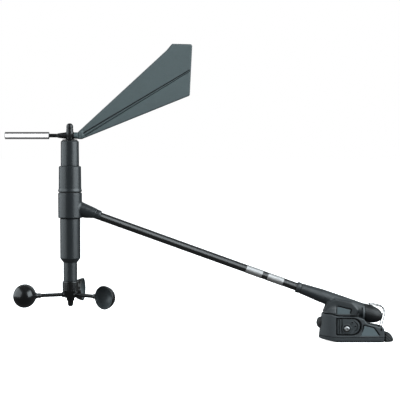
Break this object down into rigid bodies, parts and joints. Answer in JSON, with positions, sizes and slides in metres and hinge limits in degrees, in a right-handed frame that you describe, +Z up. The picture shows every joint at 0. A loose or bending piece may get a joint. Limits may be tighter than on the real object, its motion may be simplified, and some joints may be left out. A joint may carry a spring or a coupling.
{
  "type": "cup anemometer",
  "caption": "Masthead wind transducer: cup rotor below and wind vane above a slim sensor head, on a raked spar with a tilting socket and mast shoe.",
  "frame": {"origin": "centre of the mast shoe's flat mounting face", "axes": "+Z up, away from the mast top; -X towards the sensor head, +X to the rear of the shoe; Y across"},
  "size_m": [0.4177, 0.1028, 0.3193],
  "materials": {
    "shoe_plastic": "satin moulded charcoal plastic",
    "plate_plastic": "satin moulded dark plastic",
    "black_rubber": "matte black rubber",
    "steel": "bright stainless",
    "socket_plastic": "satin moulded charcoal plastic",
    "brass": "plain brass",
    "spar_black": "satin black tube",
    "band_silver": "blank silver band",
    "cable_black": "cable jacket",
    "insert_black": "plug insert",
    "cap_plastic": "satin black cap",
    "housing_plastic": "satin moulded charcoal plastic",
    "carrier_alu": "turned aluminium",
    "bearing_steel": "bearing steel",
    "board_green": "circuit board",
    "chip_black": "sensor package",
    "hub_plastic": "satin moulded black plastic",
    "blade_plastic": "blue-grey moulded plastic",
    "weight_steel": "polished stainless",
    "magnet_grey": "sintered magnet",
    "rotor_plastic": "glossy black moulded plastic",
    "loom_red": "wire sheath",
    "wire_steel": "spring wire"
  },
  "bodies": {
    "shoe": {"mast_shoe": "shoe_plastic", "side_plate_near": "plate_plastic", "side_plate_far": "plate_plastic", "pivot_bolt": "steel", "pivot_nut": "steel", "pivot_washer": "steel", "nose_plug": "black_rubber", "rear_bumper": "black_rubber"},
    "arm": {"arm_socket": "socket_plastic", "pivot_bush": "brass", "spar_tube": "spar_black", "band_front": "band_silver", "band_rear": "band_silver", "spar_cable": "cable_black", "plug_insert": "insert_black", "plug_pins": "brass", "plug_seal": "black_rubber", "connector_cap": "cap_plastic", "body_collar": "housing_plastic", "sleeve_seal": "black_rubber", "upper_sleeve": "housing_plastic", "upper_tube": "housing_plastic", "lower_tube": "housing_plastic", "lower_seal": "black_rubber", "vane_bearing_carrier": "carrier_alu", "vane_bearing_upper": "bearing_steel", "vane_bearing_lower": "bearing_steel", "vane_bearing_spacer": "carrier_alu", "direction_board": "board_green", "direction_sensor": "chip_black", "rotor_bearing_upper": "bearing_steel", "rotor_bearing_lower": "bearing_steel", "rotor_bearing_spacer": "carrier_alu", "speed_board": "board_green", "speed_sensor": "chip_black", "board_screws": "steel", "head_loom": "loom_red"},
    "vane": {"vane_hub": "hub_plastic", "vane_blade": "blade_plastic", "counterweight_rod": "hub_plastic", "counterweight": "weight_steel", "vane_shaft": "steel", "vane_nut": "hub_plastic", "rain_shield": "hub_plastic", "direction_magnet": "magnet_grey", "vane_clip": "steel"},
    "rotor": {"rotor_hub": "rotor_plastic", "cup_arm_1": "rotor_plastic", "cup_arm_2": "rotor_plastic", "cup_arm_3": "rotor_plastic", "cup_1": "rotor_plastic", "cup_2": "rotor_plastic", "cup_3": "rotor_plastic", "rotor_shaft": "steel", "rotor_nut": "rotor_plastic", "speed_magnet": "magnet_grey", "rotor_clip": "steel"},
    "bail": {"wire_bail": "wire_steel"}
  },
  "joints": [
    {"name": "arm_tilt", "type": "hinge", "parent": "shoe", "child": "arm", "pos_m": [-0.0056, 0, 0.0149], "axis": [0, 1, 0], "range_deg": [0, 5]},
    {"name": "bail_swing", "type": "hinge", "parent": "shoe", "child": "bail", "pos_m": [0.0318, 0, 0.0138], "axis": [0, 1, 0], "range_deg": [0, 80]},
    {"name": "vane_spin", "type": "hinge", "parent": "arm", "child": "vane", "pos_m": [-0.3021, 0, 0.2213], "axis": [0, 0, 1], "continuous": true},
    {"name": "rotor_spin", "type": "hinge", "parent": "arm", "child": "rotor", "pos_m": [-0.3021, 0, 0.0506], "axis": [0, 0, 1], "continuous": true}
  ]
}
